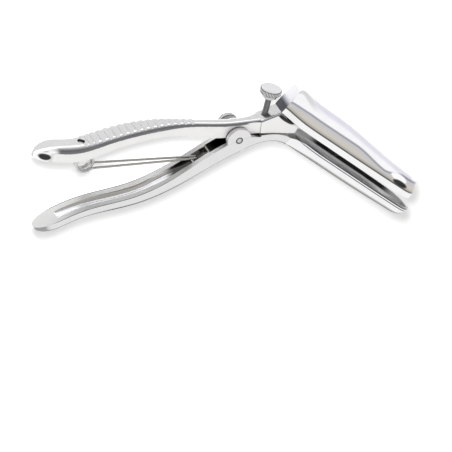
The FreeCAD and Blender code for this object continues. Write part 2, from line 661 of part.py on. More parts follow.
def make_thumb_screw():
    """Thumb screw: stem with a blunt point, collar, undercut and knurled head, upright on X, Y."""
    stem = "%.4f + Dims.screw_showing" % (bar_top(size("screw_x")) - size("screw_tip_y"))
    neck = stem + " + Dims.collar_height"
    seat = neck + " + Dims.undercut_height"
    top = seat + " + Dims.head_height"
    body = turned("thumb_screw", [
        ("0", "0"), ("Dims.screw_radius - Dims.screw_point", "0"),
        ("Dims.screw_radius", "Dims.screw_point"), ("Dims.screw_radius", stem),
        ("Dims.collar_radius", stem), ("Dims.collar_radius", neck),
        ("Dims.undercut_radius", neck), ("Dims.undercut_radius", seat),
        ("Dims.head_radius - Dims.head_edge", seat),
        ("Dims.head_radius", seat + " + Dims.head_edge"),
        ("Dims.head_radius", top + " - Dims.head_edge"),
        ("Dims.head_radius - Dims.head_edge", top), ("0", top),
    ])
    body.Placement = Placement(Vector(size("screw_x"), size("screw_tip_y"), 0),
                               Rotation(Vector(1, 0, 0), -90))
    return body


def make_spring_pin():
    """Cross pin that the spring's loop hooks over."""
    pin = document.addObject("Part::Cylinder", "spring_pin")
    pin.Label = "spring_pin"
    pin.setExpression("Radius", "Dims.pin_radius")
    pin.setExpression("Height", "Dims.groove_width + 2 * Dims.pin_seat")
    x, y = pin_centre()
    pin.Placement = Placement(Vector(x, y, -size("groove_width") / 2 - size("pin_seat")), Rotation())
    return pin


def plug_levels():
    """Inner and outer face of the upper handle where the spring's plug passes through it."""
    target = coil_centre()[0] - size("coil_radius")
    low, high = 0.0, rail_length(UPPER)
    for _ in range(40):
        middle = (low + high) / 2
        if walk(UPPER, middle)[0] < target:
            low = middle
        else:
            high = middle
    inner = walk(UPPER, low)[1]
    return inner, inner + size("upper_heel_height")


def make_spring_anchor():
    """Plug pressed through the upper handle, which holds both tails of the spring."""
    inner, outer = plug_levels()
    rise = "%.4f - Dims.plug_recess + Dims.plug_foot" % (outer - inner)
    body = turned("spring_anchor", [
        ("0", "0"), ("Dims.plug_radius", "0"), ("Dims.plug_radius", rise + " - Dims.plug_dome"),
        ("Dims.plug_radius - Dims.plug_dome", rise), ("0", rise),
    ])
    for name, sign in (("near", ""), ("far", "-")):
        hole = circle_sketch(body, name + "_tail_circle", "0", sign + "Dims.coil_inner_z",
                             "Dims.wire_radius + Dims.tail_play")
        pocket = body.newObject("PartDesign::Pocket", name + "_tail_hole")
        pocket.Profile = hole
        pocket.Reversed = True
        pocket.setExpression("Length", "Dims.tail_depth")
    body.Placement = Placement(Vector(coil_centre()[0] - size("coil_radius"),
                                      inner - size("plug_foot"), 0),
                               Rotation(Vector(1, 0, 0), -90))
    return body


def arc_points(centre, radius, first, last, low, high, count):
    """Points round an axis parallel to Z, from one angle and height to another."""
    points = []
    for step in range(count + 1):
        share = step / count
        angle = math.radians(first + (last - first) * share)
        points.append(centre + Vector(radius * math.cos(angle), radius * math.sin(angle),
                                      low + (high - low) * share))
    return points


def straight_points(first, last, pitch):
    """Points between two ends, without the ends."""
    count = max(2, round((last - first).Length / pitch))
    return [first + (last - first) * (step / count) for step in range(1, count)]


def make_torsion_spring():
    """One wire: two tails, two small coils and two long legs joined by a hook past the cross pin."""
    radius, wire, bow = size("coil_radius"), size("wire_radius"), size("hook_bow")
    centre = Vector(*coil_centre(), 0)
    pin_x, pin_y = pin_centre()
    inner, _ = plug_levels()
    tail_y = inner - size("plug_foot") + size("tail_depth") - wire
    leg_angle = size("leg_angle")

    # Near half of the wire, from the tail's end to the middle of the hook
    coil = arc_points(centre, radius, 180.0, 720.0 + leg_angle, size("coil_inner_z"),
                      size("coil_outer_z"), 34)
    tail = Vector(coil[0].x, tail_y, coil[0].z)
    knee = coil[-1] + Vector(1.3, 0.75, 0)
    over = Vector(pin_x + size("hook_reach"), pin_y + size("pin_radius") + wire + size("hook_lift"),
                  size("leg_end_z"))
    leg_slope = (over - knee).normalize()
    near = [tail] + straight_points(tail, coil[0], 1.2) + coil + [knee + leg_slope * 0.8]
    leg_end = over - leg_slope * bow
    near += straight_points(near[-1], leg_end, 4.0) + [leg_end]
    near.append(over + Vector(-0.29 * bow, -0.29 * bow, 0))
    low = Vector(over.x, over.y - size("hook_drop"), over.z)
    near += [over + Vector(0, -bow, 0)] + straight_points(over + Vector(0, -bow, 0), low, 0.6)
    curve = Part.BSplineCurve()
    curve.interpolate(Points=near, InitialTangent=Vector(0, -1, 0), FinalTangent=Vector(0, -1, 0))
    sweep = Part.BRepOffsetAPI.MakePipeShell(Part.Wire([curve.toShape()]))
    sweep.setBiNormalMode(Vector(0, 0, 1))
    sweep.add(Part.Wire([Part.makeCircle(wire, tail, Vector(0, 1, 0))]))
    sweep.build()
    sweep.makeSolid()
    half = sweep.shape()
    other = half.mirror(Vector(0, 0, 0), Vector(0, 0, 1))
    bar_radius = 1.1 * wire
    reach = over.z + bar_radius
    crossbar = Part.makeCylinder(bar_radius, 2 * reach, Vector(low.x, low.y, -reach), Vector(0, 0, 1))
    feature = document.addObject("Part::Feature", "torsion_spring")
    feature.Label = "torsion_spring"
    feature.Shape = half.fuse([crossbar, other])
    return feature


parts = [
    make_upper_lever(), make_upper_blade(), make_lower_lever(), make_lower_blade(),
    make_pivot_screw(), make_thumb_screw(), make_torsion_spring(), make_spring_anchor(),
    make_spring_pin(),
]
document.recompute()

# Lift every piece from the pivot's centre to the pivot head's flat face
rest_height = value("Dims.fork_width / 2 + Dims.pivot_collar_height + Dims.undercut_height"
                    " + Dims.head_height")
for part in parts:
    part.Placement = Placement(Vector(0, 0, rest_height), Rotation()).multiply(part.Placement)
document.recompute()

for item in document.Objects:
    if "Invalid" in item.State or "Error" in item.State:
        raise RuntimeError("%s failed: %s" % (item.Label, item.State))
os.makedirs("parts", exist_ok=True)
for part in parts:
    if part.Shape.isNull() or not part.Shape.isValid():
        raise RuntimeError(part.Label + " has no valid shape")
for part in parts:
    part.Shape.exportStep("parts/%s.step" % part.Label)
    print("%s: %d solid, %.1f mm3" % (part.Label, len(part.Shape.Solids), part.Shape.Volume))
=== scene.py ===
"""Bivalve speculum in polished and satin steel, lying on its side on a pale table.

The solids come from the frame and keep their meshes. The two knurled screws are modelled here,
with their knurling and thread, and every piece gets a procedural steel finish, with highlights,
reflections and shade painted into its colour. Lengths in metres.
"""
import logging
import math
from dataclasses import dataclass, field
from enum import Enum
from typing import Callable, Sequence

import bpy
from mathutils import Matrix, Vector


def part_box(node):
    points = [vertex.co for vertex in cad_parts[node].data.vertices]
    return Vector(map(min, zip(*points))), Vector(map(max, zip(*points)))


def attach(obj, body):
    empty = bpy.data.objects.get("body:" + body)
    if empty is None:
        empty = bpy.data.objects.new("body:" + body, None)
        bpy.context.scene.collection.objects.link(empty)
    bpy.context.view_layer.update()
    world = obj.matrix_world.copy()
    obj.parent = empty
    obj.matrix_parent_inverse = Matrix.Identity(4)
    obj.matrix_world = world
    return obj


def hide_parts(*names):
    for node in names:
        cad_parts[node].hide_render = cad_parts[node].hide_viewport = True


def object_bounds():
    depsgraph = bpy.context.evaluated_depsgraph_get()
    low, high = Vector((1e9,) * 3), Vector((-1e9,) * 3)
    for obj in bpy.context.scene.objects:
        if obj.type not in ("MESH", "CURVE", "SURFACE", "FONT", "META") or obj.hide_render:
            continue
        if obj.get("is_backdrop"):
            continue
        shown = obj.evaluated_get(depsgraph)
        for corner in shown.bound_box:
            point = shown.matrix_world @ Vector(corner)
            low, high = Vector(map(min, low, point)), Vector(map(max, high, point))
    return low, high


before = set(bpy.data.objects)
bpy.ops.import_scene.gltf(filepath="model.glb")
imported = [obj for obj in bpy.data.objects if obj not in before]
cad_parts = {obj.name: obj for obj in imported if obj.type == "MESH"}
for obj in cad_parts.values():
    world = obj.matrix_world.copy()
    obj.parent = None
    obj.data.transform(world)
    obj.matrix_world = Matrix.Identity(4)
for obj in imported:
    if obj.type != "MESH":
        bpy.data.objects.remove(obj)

MM = 0.001
log = logging.getLogger("speculum")


class Surface(Enum):
    """Kind of steel surface, named after the piece that shows most of it.

    The spring's plug shares the set screw's steel, and its cross pin the pivot screw's.
    """

    UPPER_LEVER = "upper_lever"
    LOWER_LEVER = "lower_lever"
    UPPER_BLADE = "upper_blade"
    LOWER_BLADE = "lower_blade"
    SET_SCREW = "set_screw"
    PIVOT = "pivot"
    WIRE = "wire"


@dataclass(frozen=True)
class Tone:
    """Colour and roughness of one coat.

    Attributes:
        colour: its colour.
        rough: its roughness.
    """

    colour: tuple[float, float, float]
    rough: float


@dataclass(frozen=True)
class SteelFinish:
    """One steel finish.

    Attributes:
        surface: surface that it covers.
        colour: tone of its ground.
        rough: roughness of its ground.
        grain: strength of the fine blasted grain.
        streak: strength of the polishing streaks.
    """

    surface: Surface
    colour: tuple[float, float, float]
    rough: float
    grain: float
    streak: float


FINISHES = (
    SteelFinish(Surface.UPPER_LEVER, (0.52, 0.52, 0.53), 0.26, 0.20, 0.10),
    SteelFinish(Surface.LOWER_LEVER, (0.80, 0.80, 0.795), 0.38, 0.16, 0.10),
    SteelFinish(Surface.UPPER_BLADE, (0.95, 0.95, 0.97), 0.12, 0.05, 0.06),
    SteelFinish(Surface.LOWER_BLADE, (0.93, 0.93, 0.94), 0.30, 0.08, 0.06),
    SteelFinish(Surface.SET_SCREW, (0.34, 0.34, 0.35), 0.22, 0.06, 0.12),
    SteelFinish(Surface.PIVOT, (0.34, 0.34, 0.35), 0.22, 0.06, 0.12),
    SteelFinish(Surface.WIRE, (0.40, 0.39, 0.37), 0.22, 0.05, 0.10),
)
BLADE_ANGLE = math.radians(-31.5)
GRAIN_SCALE = 2600.0
PATCH_SCALE = 140.0
PATCH_SHARE = 0.06
PATCH_ROUGHENING = 0.6
PATCH_TINT = (0.5, 0.5, 0.5)
SCRATCH_SHARE = 0.10
SCRATCH_TINT = (0.9, 0.9, 0.9)
GRAIN_RELIEF = 2.5
BUMP_STRENGTH = 0.35
BUMP_DEPTH = 0.05 * MM


class NodePen:
    """Adds and links nodes in one tree."""

    def __init__(self, tree: bpy.types.NodeTree) -> None:
        """Keep the tree to draw in.

        Args:
            tree: the node tree.
        """
        self.tree = tree

    def add(self, kind: str, **values: object) -> bpy.types.Node:
        """Add a node and set its properties.

        Args:
            kind: node type.
            values: properties of the node.

        Returns:
            The new node.
        """
        node = self.tree.nodes.new(kind)
        for key, value in values.items():
            setattr(node, key, value)
        return node

    def link(self, source: bpy.types.NodeSocket, target: bpy.types.NodeSocket) -> None:
        """Link two sockets.

        Args:
            source: output that is read.
            target: input that it feeds.
        """
        self.tree.links.new(source, target)

    def math(self, operation: str, first: object, second: object = 0.0) -> bpy.types.NodeSocket:
        """Add a math node.

        Args:
            operation: math operation.
            first: socket or number.
            second: socket or number.

        Returns:
            The node's output.
        """
        node = self.add("ShaderNodeMath", operation=operation)
        for socket, value in zip(node.inputs, (first, second)):
            if isinstance(value, bpy.types.NodeSocket):
                self.link(value, socket)
            else:
                socket.default_value = value
        return node.outputs[0]

    def ramp(self, value: bpy.types.NodeSocket, low: float, high: float) -> bpy.types.NodeSocket:
        """Smooth step from 0 at low to 1 at high.

        Args:
            value: what is mapped.
            low: where the step starts.
            high: where it ends.

        Returns:
            The mapped value.
        """
        node = self.add("ShaderNodeMapRange", interpolation_type="SMOOTHSTEP")
        node.inputs["From Min"].default_value = low
        node.inputs["From Max"].default_value = high
        self.link(value, node.inputs["Value"])
        return node.outputs["Result"]

    def band(self, value: bpy.types.NodeSocket, low: float, high: float,
             soft: float) -> bpy.types.NodeSocket:
        """Mask that is 1 between two values.

        Args:
            value: what is masked.
            low: lower end.
            high: upper end.
            soft: half the width of each soft edge.

        Returns:
            The mask.
        """
        rise = self.ramp(value, low - soft, low + soft)
        fall = self.ramp(value, high - soft, high + soft)
        return self.math("MULTIPLY", rise, self.math("SUBTRACT", 1.0, fall))

    def all_of(self, *masks: bpy.types.NodeSocket) -> bpy.types.NodeSocket:
        """Product of masks.

        Args:
            masks: masks to multiply.

        Returns:
            Their product.
        """
        whole = masks[0]
        for mask in masks[1:]:
            whole = self.math("MULTIPLY", whole, mask)
        return whole

    def spot(self, across: bpy.types.NodeSocket, up: bpy.types.NodeSocket,
             centre: tuple[float, float], radii: tuple[float, float]) -> bpy.types.NodeSocket:
        """Mask of a soft-edged ellipse.

        Args:
            across: first coordinate.
            up: second coordinate.
            centre: its centre in both.
            radii: its radii along both.

        Returns:
            The mask.
        """
        shares = [self.math("DIVIDE", self.math("SUBTRACT", value, middle), radius)
                  for value, middle, radius in zip((across, up), centre, radii)]
        squares = [self.math("MULTIPLY", share, share) for share in shares]
        full, gone = 0.6, 1.3
        return self.math("SUBTRACT", 1.0, self.ramp(self.math("ADD", *squares), full, gone))

    def mix(self, factor: bpy.types.NodeSocket, first: object, second: object) -> bpy.types.NodeSocket:
        """Mix two colours.

        Args:
            factor: share of the second colour.
            first: colour or socket.
            second: colour or socket.

        Returns:
            The mixed colour.
        """
        # The colour sockets come after those of the node's other data types
        first_colour, second_colour, mixed = 6, 7, 2
        node = self.add("ShaderNodeMix", data_type="RGBA")
        self.link(factor, node.inputs["Factor"])
        for index, value in ((first_colour, first), (second_colour, second)):
            socket = node.inputs[index]
            if isinstance(value, bpy.types.NodeSocket):
                self.link(value, socket)
            else:
                socket.default_value = (*value, 1.0)
        return node.outputs[mixed]


class SurfaceGroups:
    """Node groups that the finishes share."""

    def __init__(self) -> None:
        """Build each group once."""
        self.grain = self._grain()
        self.wear = self._wear()

    @staticmethod
    def _group(name: str, inputs: Sequence[tuple[str, float]],
               outputs: Sequence[str]) -> tuple[bpy.types.NodeTree, NodePen, bpy.types.Node,
                                                bpy.types.Node]:
        """Start a group with named value sockets.

        Args:
            name: group name.
            inputs: names and defaults of its inputs.
            outputs: names of its outputs.

        Returns:
            The tree, a pen for it, and its input and output nodes.
        """
        tree = bpy.data.node_groups.new(name, "ShaderNodeTree")
        for label, default in inputs:
            socket = tree.interface.new_socket(label, in_out="INPUT", socket_type="NodeSocketFloat")
            socket.default_value = default
        for label in outputs:
            tree.interface.new_socket(label, in_out="OUTPUT", socket_type="NodeSocketFloat")
        pen = NodePen(tree)
        return tree, pen, pen.add("NodeGroupInput"), pen.add("NodeGroupOutput")

    def _grain(self) -> bpy.types.NodeTree:
        """Fine blasted grain with faint patches.

        Returns:
            The group, with Height and Patch outputs.
        """
        tree, pen, given, out = self._group("FineGrain", (("Scale", 1.0),), ("Height", "Patch"))
        where = pen.add("ShaderNodeTexCoord").outputs["Object"]
        fine = pen.add("ShaderNodeTexNoise")
        fine.inputs["Detail"].default_value = 4.0
        fine.inputs["Roughness"].default_value = 0.7
        pen.link(where, fine.inputs["Vector"])
        pen.link(pen.math("MULTIPLY", given.outputs["Scale"], GRAIN_SCALE), fine.inputs["Scale"])
        broad = pen.add("ShaderNodeTexNoise")
        broad.inputs["Detail"].default_value = 3.0
        pen.link(where, broad.inputs["Vector"])
        pen.link(pen.math("MULTIPLY", given.outputs["Scale"], PATCH_SCALE), broad.inputs["Scale"])
        pen.link(fine.outputs["Fac"], out.inputs["Height"])
        pen.link(pen.ramp(broad.outputs["Fac"], 0.3, 0.7), out.inputs["Patch"])
        return tree

    def _wear(self) -> bpy.types.NodeTree:
        """Hairline streaks left by the polishing wheel, and sparse scratches.

        Returns:
            The group, with Height and Scratch outputs.
        """
        tree, pen, given, out = self._group("PolishStreaks", (("Length", 30.0), ("Width", 900.0)),
                                            ("Height", "Scratch"))
        where = pen.add("ShaderNodeTexCoord").outputs["Object"]
        parts = pen.add("ShaderNodeSeparateXYZ")
        pen.link(where, parts.inputs[0])
        stretched = pen.add("ShaderNodeCombineXYZ")
        pen.link(pen.math("MULTIPLY", parts.outputs["X"], given.outputs["Length"]),
                 stretched.inputs["X"])
        for axis in ("Y", "Z"):
            pen.link(pen.math("MULTIPLY", parts.outputs[axis], given.outputs["Width"]),
                     stretched.inputs[axis])
        noise = pen.add("ShaderNodeTexNoise")
        noise.inputs["Scale"].default_value = 1.0
        noise.inputs["Detail"].default_value = 3.0
        pen.link(stretched.outputs[0], noise.inputs["Vector"])
        pen.link(noise.outputs["Fac"], out.inputs["Height"])
        pen.link(pen.ramp(noise.outputs["Fac"], 0.66, 0.74), out.inputs["Scratch"])
        return tree


class Coats:
    """Colour and roughness of a surface, built up coat by coat from where a point lies. Most coats
    are painted highlights, painted reflections and painted shade.

    Places are in mm: x and y in the row frame, depth from the levers' middle plane, along and
    height along and across the blades.
    """

    def __init__(self, pen: NodePen, finish: SteelFinish, middle: float) -> None:
        """Start with the finish's ground.

        Args:
            pen: pen for the material's tree.
            finish: the finish.
            middle: height of the levers' middle plane, in metres.
        """
        self.pen = pen
        self.colour: object = finish.colour
        self.rough: object = finish.rough
        coordinates = pen.add("ShaderNodeTexCoord")
        place = pen.add("ShaderNodeSeparateXYZ")
        pen.link(coordinates.outputs["Object"], place.inputs[0])
        facing = pen.add("ShaderNodeSeparateXYZ")
        pen.link(coordinates.outputs["Normal"], facing.inputs[0])
        self.x = pen.math("DIVIDE", place.outputs["X"], MM)
        self.y = pen.math("DIVIDE", place.outputs["Y"], MM)
        self.depth = pen.math("DIVIDE", pen.math("SUBTRACT", place.outputs["Z"], middle), MM)
        self.along = self._turned(self.x, self.y, math.cos(BLADE_ANGLE), math.sin(BLADE_ANGLE))
        self.height = self._turned(self.x, self.y, -math.sin(BLADE_ANGLE), math.cos(BLADE_ANGLE))
        self.face_x, self.face_y, self.face_z = (facing.outputs[axis] for axis in "XYZ")
        self.face_along = self._turned(self.face_x, self.face_y, math.cos(BLADE_ANGLE),
                                       math.sin(BLADE_ANGLE))
        self.flat = pen.math("ABSOLUTE", self.face_z)
        self.off_middle = pen.math("ABSOLUTE", self.depth)

    def _turned(self, x: bpy.types.NodeSocket, y: bpy.types.NodeSocket, x_share: float,
                y_share: float) -> bpy.types.NodeSocket:
        """Sum of two coordinates with their shares.

        Args:
            x: first coordinate.
            y: second coordinate.
            x_share: factor of the first.
            y_share: factor of the second.

        Returns:
            The sum.
        """
        pen = self.pen
        return pen.math("ADD", pen.math("MULTIPLY", x, x_share), pen.math("MULTIPLY", y, y_share))

    def length(self, first: bpy.types.NodeSocket,
               second: bpy.types.NodeSocket) -> bpy.types.NodeSocket:
        """Distance from the origin of two coordinates.

        Args:
            first: first coordinate.
            second: second coordinate.

        Returns:
            The distance.
        """
        pen = self.pen
        squares = [pen.math("MULTIPLY", value, value) for value in (first, second)]
        return pen.math("SQRT", pen.math("ADD", *squares))

    def coat(self, mask: bpy.types.NodeSocket, tone: Tone) -> None:
        """Lay one coat over the others.

        Args:
            mask: where it shows.
            tone: its colour and roughness.
        """
        pen = self.pen
        self.colour = pen.mix(mask, self.colour, tone.colour)
        kept = pen.math("MULTIPLY", pen.math("SUBTRACT", 1.0, mask), self.rough)
        self.rough = pen.math("ADD", kept, pen.math("MULTIPLY", mask, tone.rough))

    def below(self, value: bpy.types.NodeSocket, edge: float, soft: float) -> bpy.types.NodeSocket:
        """Mask of what lies below an edge.

        Args:
            value: what is masked.
            edge: where the mask ends.
            soft: half the width of its soft edge.

        Returns:
            The mask.
        """
        return self.pen.math("SUBTRACT", 1.0, self.pen.ramp(value, edge - soft, edge + soft))

    def above(self, value: bpy.types.NodeSocket, edge: float, soft: float) -> bpy.types.NodeSocket:
        """Mask of what lies above an edge.

        Args:
            value: what is masked.
            edge: where the mask starts.
            soft: half the width of its soft edge.

        Returns:
            The mask.
        """
        return self.pen.ramp(value, edge - soft, edge + soft)


def coat_upper_lever(coats: Coats) -> None:
    """Satin outer face, bright sides, and polished roundings between them that carry a painted white
    highlight and painted grey and dark reflections. The nose carries a painted highlight over a painted
    black reflection, and painted shade darkens the plug's hole and the tongue's side under the blade's rim.

    Args:
        coats: the upper lever's coats.
    """
    pen = coats.pen
    side = Tone((0.90, 0.895, 0.88), 0.40)
    # Painted highlight along the rounding's outer edge, then painted grey and dark reflections over the
    # rest of it.
    coats.coat(pen.band(coats.flat, 0.10, 0.32, 0.06), Tone((0.97, 0.97, 0.98), 0.16))
    coats.coat(pen.band(coats.flat, 0.32, 1.10, 0.08), Tone((0.50, 0.50, 0.51), 0.14))
    rounding = pen.all_of(pen.band(coats.flat, 0.66, 1.10, 0.14), coats.above(coats.x, -92.0, 1.5))
    coats.coat(rounding, Tone((0.16, 0.16, 0.17), 0.14))
    coats.coat(coats.above(coats.flat, 0.985, 0.006), side)
    bar_side = pen.all_of(coats.above(coats.x, 4.0, 1.0), coats.above(coats.flat, 0.90, 0.03))
    coats.coat(bar_side, side)
    # Painted highlight on the nose's rounding, with a painted black reflection spot below it.
    nose = coats.below(coats.x, -93.0, 1.5)
    nose_highlight = pen.all_of(nose, pen.band(coats.flat, 0.30, 0.975, 0.05))
    coats.coat(nose_highlight, Tone((0.96, 0.96, 0.96), 0.16))
    nose_dark_reflection = pen.all_of(pen.spot(coats.x, coats.y, (-98.2, -8.6), (2.9, 1.7)),
                            coats.above(coats.face_z, 0.2, 0.1))
    coats.coat(nose_dark_reflection, Tone((0.03, 0.03, 0.03), 0.16))
    # Painted shade in the plug's hole.
    low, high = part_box("spring_anchor")
    plug_x = (low.x + high.x) / 2 / MM
    hole_shade = pen.all_of(pen.spot(coats.x, coats.depth, (plug_x, 0.0), (2.0, 2.0)),
                         coats.below(coats.face_y, 0.5, 0.2))
    coats.coat(hole_shade, Tone((0.03, 0.03, 0.03), 0.3))
    # Painted shade: a black spot on the tongue's side, under the blade's rim.
    tongue = pen.all_of(coats.above(coats.x, 9.0, 0.8), coats.above(coats.face_z, 0.9, 0.03))
    shade_under_blade = pen.spot(coats.along, coats.height, (12.5, 21.0), (6.0, 1.5))
    coats.coat(pen.all_of(tongue, shade_under_blade), Tone((0.02, 0.02, 0.02), 0.2))


def coat_lower_lever(coats: Coats) -> None:
    """Bright faces, with painted shade on the faces turned to the upper lever, painted dark reflection
    lines along the inner face's edges and the rounding on the -Y side, painted reflections and shade in
    the polished groove, and painted shade in the fork slot.

    Args:
        coats: the lower lever's coats.
    """
    pen = coats.pen
    # Painted shade: faces turned to the upper lever are greyed.
    not_side = coats.below(coats.flat, 0.6, 0.1)
    faces_upper_lever = coats.above(coats.face_y, 0.3, 0.1)
    coats.coat(pen.all_of(not_side, faces_upper_lever), Tone((0.60, 0.60, 0.60), 0.38))
    # Painted dark reflection: a fine dark line along the handle's inner edges.
    edge = pen.all_of(coats.above(coats.off_middle, 5.72, 0.06), not_side)
    handle = coats.below(coats.x, -15.0, 2.0)
    coats.coat(pen.all_of(edge, handle, faces_upper_lever), Tone((0.08, 0.08, 0.09), 0.2))
    # Painted dark reflection along the rounding on the -Y side, near black in its middle run.
    under_rounding_reflection = pen.all_of(pen.band(coats.face_z, 0.45, 0.955, 0.03),
                            coats.below(coats.face_y, -0.1, 0.1))
    coats.coat(under_rounding_reflection, Tone((0.34, 0.34, 0.34), 0.15))
    middle_run = pen.band(coats.x, -62.0, -18.0, 8.0)
    coats.coat(pen.all_of(under_rounding_reflection, middle_run), Tone((0.06, 0.06, 0.06), 0.15))
    # In the groove: a painted dark reflection on the far wall, a painted pale lavender reflection on the
    # floor, and painted shade lines on the floor near both walls.
    in_groove = pen.all_of(coats.below(coats.off_middle, 2.78, 0.03),
                           pen.band(coats.x, -82.0, -12.5, 0.5))
    far_wall = pen.all_of(in_groove, coats.above(coats.face_z, 0.5, 0.2))
    coats.coat(far_wall, Tone((0.40, 0.385, 0.36), 0.14))
    floor = pen.all_of(in_groove, coats.below(coats.flat, 0.5, 0.2))
    coats.coat(floor, Tone((0.92, 0.92, 0.96), 0.14))
    near_line = pen.band(coats.depth, 1.75, 2.15, 0.12)
    coats.coat(pen.all_of(floor, near_line), Tone((0.22, 0.22, 0.24), 0.15))
    far_line = pen.band(coats.depth, -2.7, -1.7, 0.3)
    coats.coat(pen.all_of(floor, far_line), Tone((0.34, 0.33, 0.32), 0.15))
    # Painted shade deep in the groove round the spring's hook.
    hook_pocket_shade = pen.all_of(in_groove, coats.above(coats.x, -28.0, 2.5))
    coats.coat(hook_pocket_shade, Tone((0.10, 0.095, 0.09), 0.25))
    # Painted shade: the fork slot greyed, and black in its heart.
    slot = pen.all_of(coats.below(coats.off_middle, 3.25, 0.04),
                      pen.band(coats.x, -12.6, 11.0, 0.2))
    coats.coat(slot, Tone((0.12, 0.12, 0.11), 0.3))
    slot_heart_shade = pen.all_of(slot, coats.above(coats.x, -8.5, 2.0))
    coats.coat(slot_heart_shade, Tone((0.01, 0.01, 0.01), 0.4))


def coat_upper_blade(coats: Coats) -> None:
    """White crown, a grey wall whose painted reflections darken towards its edges, a painted highlight
    and a painted dark reflection at the tip, and a satin rim band under a painted dark line. The root's
    end face carries painted reflections, with painted shade at its foot.

    Args:
        coats: the upper blade's coats.
    """
    pen = coats.pen
    start = pen.math("MULTIPLY", pen.ramp(coats.along, 4.0, 20.0), 2.0)
    fall = pen.math("MULTIPLY", pen.ramp(coats.along, 50.0, 76.0), 2.6)
    rise = pen.math("MULTIPLY", pen.ramp(coats.along, 73.0, 86.0), 2.3)
    crown_edge = pen.math("ADD", pen.math("SUBTRACT", pen.math("ADD", start, 28.9), fall), rise)
    over_edge = pen.math("SUBTRACT", coats.height, crown_edge)
    # Painted reflections on the wall below the crown's edge: grey, then brown-grey, with a dark line under
    # the edge and a darker band lower down.
    coats.coat(coats.below(over_edge, 0.0, 0.5), Tone((0.56, 0.56, 0.60), 0.16))
    coats.coat(coats.below(over_edge, -1.9, 1.0), Tone((0.62, 0.59, 0.54), 0.22))
    coats.coat(pen.band(over_edge, -0.9, -0.1, 0.25), Tone((0.34, 0.34, 0.37), 0.16))
    coats.coat(coats.below(coats.height, 26.4, 0.7), Tone((0.42, 0.40, 0.37), 0.2))
    # Painted highlight and painted dark reflection at the tip.
    tip_highlight = pen.spot(coats.along, coats.height, (83.6, 28.6), (5.6, 1.5))
    coats.coat(tip_highlight, Tone((1.0, 1.0, 1.0), 0.10))
    tip_dark_reflection = pen.spot(coats.along, coats.height, (86.2, 26.6), (5.0, 1.3))
    coats.coat(tip_dark_reflection, Tone((0.015, 0.015, 0.015), 0.12))
    # Painted dark reflection line above the satin rim band.
    coats.coat(coats.below(coats.height, 25.6, 0.15), Tone((0.10, 0.10, 0.09), 0.2))
    coats.coat(coats.below(coats.height, 24.9, 0.12), Tone((0.96, 0.96, 0.96), 0.40))
    # Painted reflections on the root's end face: pale lavender, darker lower down, and painted black shade
    # at its foot.
    root_face = coats.below(coats.face_along, -0.85, 0.1)
    coats.coat(root_face, Tone((0.74, 0.74, 0.78), 0.3))
    lower_root_reflection = pen.all_of(root_face, coats.below(coats.height, 28.4, 1.4))
    coats.coat(lower_root_reflection, Tone((0.34, 0.35, 0.39), 0.16))
    root_foot_shade = pen.all_of(root_face, coats.below(coats.height, 26.8, 1.2))
    coats.coat(root_foot_shade, Tone((0.06, 0.06, 0.07), 0.16))


def coat_lower_blade(coats: Coats) -> None:
    """Bright outside with two painted dark reflection lines under the rim, painted shade on the faces
    turned away from the lamp, and a painted black shade strip inside the far wall.

    Args:
        coats: the lower blade's coats.
    """
    pen = coats.pen
    outside = pen.all_of(coats.above(coats.depth, 2.0, 1.0), coats.above(coats.along, 26.0, 4.0))
    # Two painted dark reflection lines under the rim.
    for low, high in ((17.1, 17.7), (16.15, 16.55)):
        line = pen.band(coats.height, low, high, 0.08)
        coats.coat(pen.all_of(outside, line), Tone((0.03, 0.03, 0.03), 0.2))
    # Painted shade on the faces turned away from the lamp, towards -Y.
    under = pen.all_of(pen.band(coats.face_z, 0.0, 0.80, 0.12),
                       coats.below(coats.face_y, -0.35, 0.12))
    coats.coat(under, Tone((0.16, 0.16, 0.15), 0.2))
    inside = pen.all_of(coats.below(coats.depth, 0.0, 0.5), coats.above(coats.face_z, 0.2, 0.2))
    coats.coat(inside, Tone((0.90, 0.90, 0.90), 0.45))
    # Painted shade: a black strip high on the far wall inside the trough, under the upper blade.
    strip = pen.all_of(inside, coats.above(coats.height, 15.7, 0.35),
                       pen.band(coats.along, 44.0, 96.0, 4.0))
    coats.coat(strip, Tone((0.015, 0.015, 0.015), 0.3))


def coat_screw(coats: Coats, face: bpy.types.NodeSocket, radius: bpy.types.NodeSocket) -> None:
    """Bright satin ends on a darker turned flank, a painted contrast of light and shade, with a stem
    painted darker as shade, painted highlights on the knurl ridges and painted shade in its valleys.

    Args:
        coats: the screw's coats.
        face: how far the surface faces along the screw's axis.
        radius: distance from the screw's axis, in mm.
    """
    pen = coats.pen
    # Painted shade: the stem is darkened.
    stem = coats.below(radius, 2.0, 0.2)
    coats.coat(stem, Tone((0.20, 0.20, 0.20), 0.22))
    collar = pen.band(radius, 3.0, 4.0, 0.2)
    coats.coat(collar, Tone((0.62, 0.62, 0.62), 0.25))
    # Painted highlight on the knurl's ridges and painted shade in its valleys.
    ridges = coats.above(radius, 5.14, 0.06)
    coats.coat(ridges, Tone((0.80, 0.80, 0.80), 0.25))
    valleys = pen.band(radius, 4.6, 5.08, 0.05)
    coats.coat(valleys, Tone((0.10, 0.10, 0.10), 0.3))
    # Painted light and shade: the ends are painted brighter than the darker flank.
    ends = coats.above(pen.math("ABSOLUTE", face), 0.93, 0.04)
    coats.coat(ends, Tone((0.62, 0.62, 0.64), 0.32))


def coat_wire(coats: Coats) -> None:
    """Dark drawn wire, with a painted highlight round the coils.

    Args:
        coats: the wire's coats.
    """
    # Painted highlight round the coils.
    coils = coats.below(coats.x, -70.6, 0.4)
    coats.coat(coils, Tone((0.60, 0.60, 0.59), 0.16))


